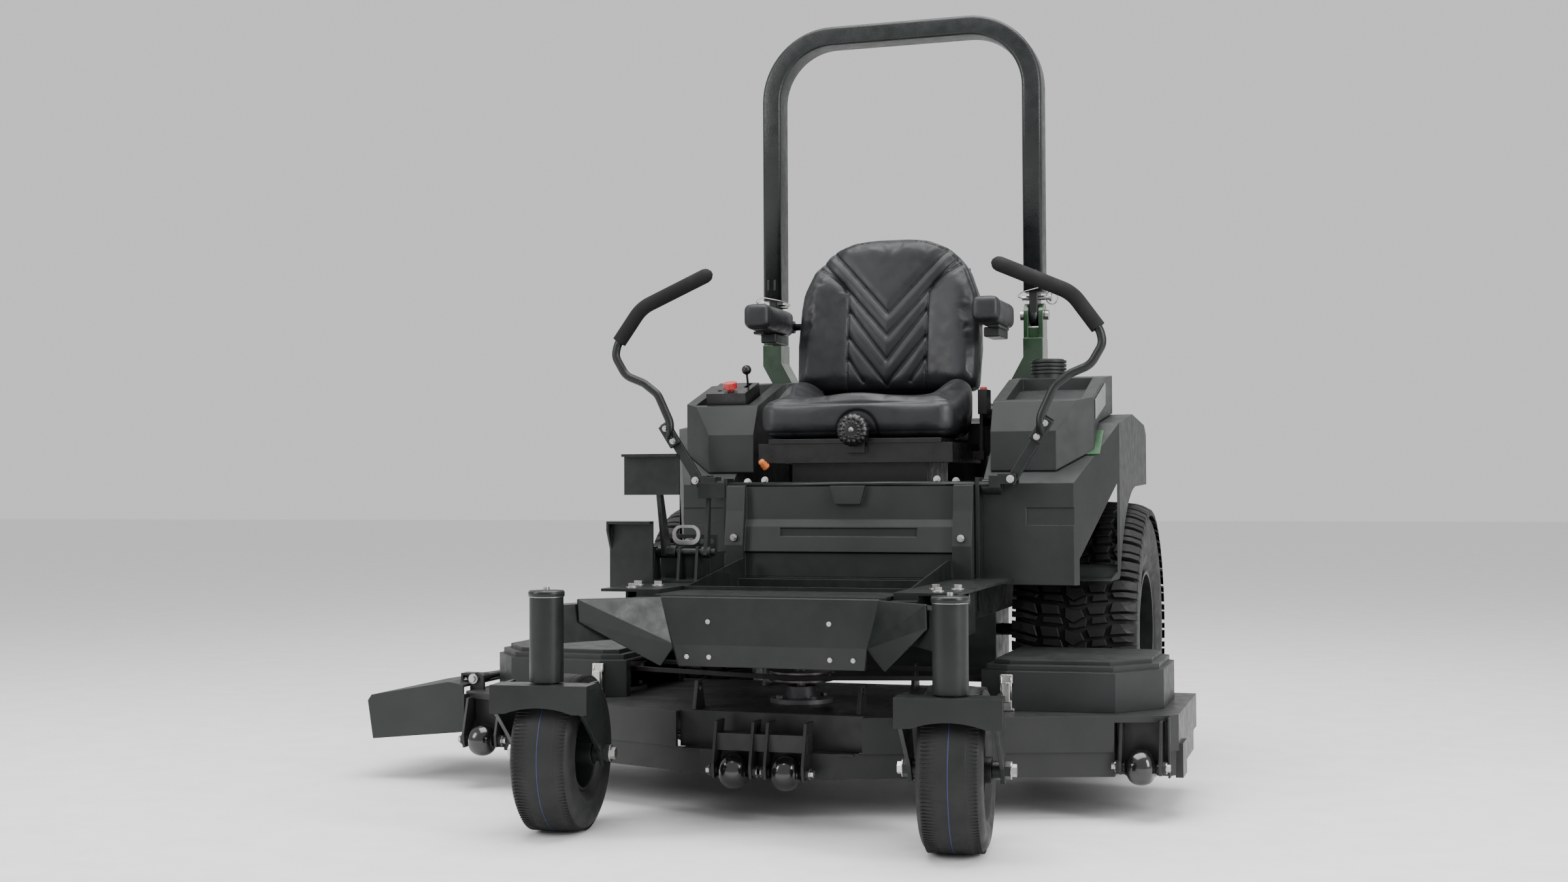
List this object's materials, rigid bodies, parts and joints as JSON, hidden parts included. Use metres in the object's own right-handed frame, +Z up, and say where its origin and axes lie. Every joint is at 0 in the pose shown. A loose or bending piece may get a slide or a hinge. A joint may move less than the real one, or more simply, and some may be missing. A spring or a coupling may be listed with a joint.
{
  "type": "riding lawn mower",
  "caption": "Zero-turn riding lawn mower with lap bars, a suspension seat, a folding roll bar and a side-discharge deck.",
  "frame": {"origin": "on the ground, below the middle of the outline's box", "axes": "+Z up, front of the mower towards -Y, +X towards the operator's left"},
  "size_m": [1.926, 2.0248, 1.905],
  "materials": {
    "frame_black": "satin black powder coat with a fine orange peel",
    "deck_black": "satin black powder coat, a little dusty",
    "body_plastic": "fine-grained charcoal moulded plastic",
    "roll_bar_green": "glossy dark green powder coat",
    "roll_bar_black": "textured black powder coat",
    "tyre_rubber": "black tyre rubber",
    "seat_vinyl": "black grained vinyl with stitched chevrons",
    "grip_foam": "black foam rubber",
    "black_plastic": "satin black plastic",
    "zinc_steel": "bright zinc plated steel",
    "bare_steel": "worn ground steel",
    "cast_metal": "sand-cast aluminium",
    "engine_black": "satin black engine paint",
    "control_red": "red moulded plastic",
    "belt_rubber": "black belt rubber"
  },
  "bodies": {
    "chassis": {"main_frame": "frame_black", "front_fairing": "frame_black", "floor_pan": "frame_black", "seat_riser": "body_plastic", "fender_left": "body_plastic", "fender_right": "body_plastic", "pod_left": "body_plastic", "pod_right": "body_plastic", "control_panel": "black_plastic", "rops_uprights": "roll_bar_green", "engine_block": "cast_metal", "engine_shroud": "engine_black", "muffler": "bare_steel", "rear_bumper": "frame_black", "transaxles": "cast_metal", "foot_step": "frame_black", "height_selector": "frame_black", "frame_fasteners": "zinc_steel", "suspension_base": "black_plastic"},
    "roll_bar": {"rops_hoop": "roll_bar_black", "rops_pins": "zinc_steel"},
    "seat": {"seat_frame": "black_plastic", "seat_cushion": "seat_vinyl"},
    "backrest": {"seat_back": "seat_vinyl"},
    "weight_knob": {"weight_knob": "black_plastic"},
    "buckle_button": {"buckle_button": "control_red"},
    "deck": {"deck_shell": "deck_black", "belt_cover_left": "body_plastic", "belt_cover_right": "body_plastic", "deck_spindles": "cast_metal", "deck_belt": "belt_rubber"},
    "chute": {"chute": "body_plastic"},
    "lift_pedal": {"lift_pedal": "frame_black"},
    "latch_pedal": {"latch_pedal": "frame_black"},
    "height_pin": {"height_pin": "zinc_steel"},
    "pto_knob": {"pto_knob": "control_red"},
    "throttle_lever": {"throttle_lever": "black_plastic"},
    "caster_left": {"caster_fork_left": "frame_black"},
    "caster_wheel_left": {"caster_tyre_left": "tyre_rubber", "caster_rim_left": "frame_black"},
    "drive_wheel_left": {"drive_tyre_left": "tyre_rubber", "drive_rim_left": "frame_black"},
    "lever_left": {"lever_left": "frame_black"},
    "lap_bar_left": {"lap_bar_left": "frame_black"},
    "armrest_left": {"armrest_left": "seat_vinyl"},
    "caster_right": {"caster_fork_right": "frame_black"},
    "caster_wheel_right": {"caster_tyre_right": "tyre_rubber", "caster_rim_right": "frame_black"},
    "drive_wheel_right": {"drive_tyre_right": "tyre_rubber", "drive_rim_right": "frame_black"},
    "lever_right": {"lever_right": "frame_black"},
    "lap_bar_right": {"lap_bar_right": "frame_black"},
    "armrest_right": {"armrest_right": "seat_vinyl"},
    "blade_left": {"blade_left": "bare_steel"},
    "blade_center": {"blade_center": "bare_steel"},
    "blade_right": {"blade_right": "bare_steel"},
    "roller_left": {"roller_left": "black_plastic"},
    "roller_center_left": {"roller_center_left": "black_plastic"},
    "roller_center_right": {"roller_center_right": "black_plastic"},
    "roller_right": {"roller_right": "black_plastic"}
  },
  "joints": [
    {"name": "roll_bar_fold", "type": "hinge", "parent": "chassis", "child": "roll_bar", "pos_m": [0.187, 0.35046, 1.13], "axis": [-1, 0, 0], "range_deg": [0, 110]},
    {"name": "caster_swivel_left", "type": "hinge", "parent": "chassis", "child": "caster_left", "pos_m": [0.597, -0.94754, 0.4], "axis": [0, 0, 1], "continuous": true},
    {"name": "caster_roll_left", "type": "hinge", "parent": "caster_left", "child": "caster_wheel_left", "pos_m": [0.58696, -0.85206, 0.159], "axis": [0.9945, 0.1045, 0], "continuous": true},
    {"name": "drive_roll_left", "type": "hinge", "parent": "chassis", "child": "drive_wheel_left", "pos_m": [0.667, 0.38246, 0.328], "axis": [1, 0, 0], "continuous": true},
    {"name": "drive_control_left", "type": "hinge", "parent": "chassis", "child": "lever_left", "pos_m": [0.517, -0.15754, 0.694], "axis": [1, 0, 0], "range_deg": [-10, 18]},
    {"name": "lap_bar_swing_left", "type": "hinge", "parent": "lever_left", "child": "lap_bar_left", "pos_m": [0.567, -0.15754, 0.712], "axis": [0, -1, 0], "range_deg": [0, 28]},
    {"name": "caster_swivel_right", "type": "hinge", "parent": "chassis", "child": "caster_right", "pos_m": [-0.223, -0.94754, 0.4], "axis": [0, 0, 1], "continuous": true},
    {"name": "caster_roll_right", "type": "hinge", "parent": "caster_right", "child": "caster_wheel_right", "pos_m": [-0.23303, -0.85206, 0.159], "axis": [0.9945, 0.1045, 0], "continuous": true},
    {"name": "drive_roll_right", "type": "hinge", "parent": "chassis", "child": "drive_wheel_right", "pos_m": [-0.293, 0.38246, 0.328], "axis": [1, 0, 0], "continuous": true},
    {"name": "drive_control_right", "type": "hinge", "parent": "chassis", "child": "lever_right", "pos_m": [-0.143, -0.15754, 0.694], "axis": [1, 0, 0], "range_deg": [-10, 18]},
    {"name": "lap_bar_swing_right", "type": "hinge", "parent": "lever_right", "child": "lap_bar_right", "pos_m": [-0.193, -0.15754, 0.712], "axis": [0, 1, 0], "range_deg": [0, 28]},
    {"name": "seat_ride", "type": "slide", "parent": "chassis", "child": "seat", "axis": [0, 0, 1], "range_m": [-0.045, 0], "stiffness_N_per_m": 9000, "springref_m": 0.06},
    {"name": "backrest_recline", "type": "hinge", "parent": "seat", "child": "backrest", "pos_m": [0.187, 0.26046, 0.797], "axis": [1, 0, 0], "range_deg": [0, 8]},
    {"name": "armrest_fold_left", "type": "hinge", "parent": "backrest", "child": "armrest_left", "pos_m": [0.469, 0.27446, 1.112], "axis": [-1, 0, 0], "range_deg": [0, 86]},
    {"name": "armrest_fold_right", "type": "hinge", "parent": "backrest", "child": "armrest_right", "pos_m": [-0.095, 0.27446, 1.112], "axis": [-1, 0, 0], "range_deg": [0, 86]},
    {"name": "weight_knob_turn", "type": "hinge", "parent": "seat", "child": "weight_knob", "pos_m": [0.195, -0.14754, 0.828], "axis": [0, 1, 0], "continuous": true},
    {"name": "buckle_press", "type": "slide", "parent": "seat", "child": "buckle_button", "axis": [0, 0, -1], "range_m": [0, 0.003], "stiffness_N_per_m": 500, "springref_m": -0.004},
    {"name": "deck_lift", "type": "slide", "parent": "chassis", "child": "deck", "axis": [0, 0, 1], "range_m": [0, 0.05]},
    {"name": "lift_pedal_push", "type": "hinge", "parent": "chassis", "child": "lift_pedal", "pos_m": [-0.153, -0.47754, 0.553], "axis": [1, 0, 0], "range_deg": [0, 16]},
    {"name": "latch_pedal_push", "type": "hinge", "parent": "chassis", "child": "latch_pedal", "pos_m": [-0.055, -0.47754, 0.553], "axis": [1, 0, 0], "range_deg": [0, 18], "stiffness_Nm_per_rad": 6, "springref_deg": -34.38},
    {"name": "blade_spin_left", "type": "hinge", "parent": "deck", "child": "blade_left", "pos_m": [0.627, -0.22954, 0.12], "axis": [0, 0, 1], "continuous": true},
    {"name": "blade_spin_center", "type": "hinge", "parent": "deck", "child": "blade_center", "pos_m": [0.127, -0.36254, 0.12], "axis": [0, 0, 1], "continuous": true},
    {"name": "blade_spin_right", "type": "hinge", "parent": "deck", "child": "blade_right", "pos_m": [-0.373, -0.22954, 0.12], "axis": [0, 0, 1], "continuous": true},
    {"name": "chute_lift", "type": "hinge", "parent": "deck", "child": "chute", "pos_m": [-0.687, -0.24754, 0.243], "axis": [0, 1, 0], "range_deg": [0, 95]},
    {"name": "roller_spin_left", "type": "hinge", "parent": "deck", "child": "roller_left", "pos_m": [0.883, -0.42954, 0.112], "axis": [1, 0, 0], "continuous": true},
    {"name": "roller_spin_center_left", "type": "hinge", "parent": "deck", "child": "roller_center_left", "pos_m": [0.184, -0.65954, 0.105], "axis": [1, 0, 0], "continuous": true},
    {"name": "roller_spin_center_right", "type": "hinge", "parent": "deck", "child": "roller_center_right", "pos_m": [0.07, -0.65954, 0.105], "axis": [1, 0, 0], "continuous": true},
    {"name": "roller_spin_right", "type": "hinge", "parent": "deck", "child": "roller_right", "pos_m": [-0.629, -0.42954, 0.112], "axis": [1, 0, 0], "continuous": true},
    {"name": "height_pin_pull", "type": "slide", "parent": "chassis", "child": "height_pin", "axis": [0, -1, 0], "range_m": [0, 0.04]},
    {"name": "pto_pull", "type": "slide", "parent": "chassis", "child": "pto_knob", "axis": [0, -0.2873, 0.9578], "range_m": [0, 0.012]},
    {"name": "throttle_push", "type": "hinge", "parent": "chassis", "child": "throttle_lever", "pos_m": [-0.129, 0.02902, 0.93482], "axis": [1, 0, 0], "range_deg": [-15, 20]}
  ],
  "couplings": [
    {"joint": "blade_spin_left", "follows": "blade_spin_center", "ratio": 1},
    {"joint": "blade_spin_right", "follows": "blade_spin_center", "ratio": 1},
    {"joint": "lift_pedal_push", "follows": "deck_lift", "rad_per_m": 5.5}
  ]
}
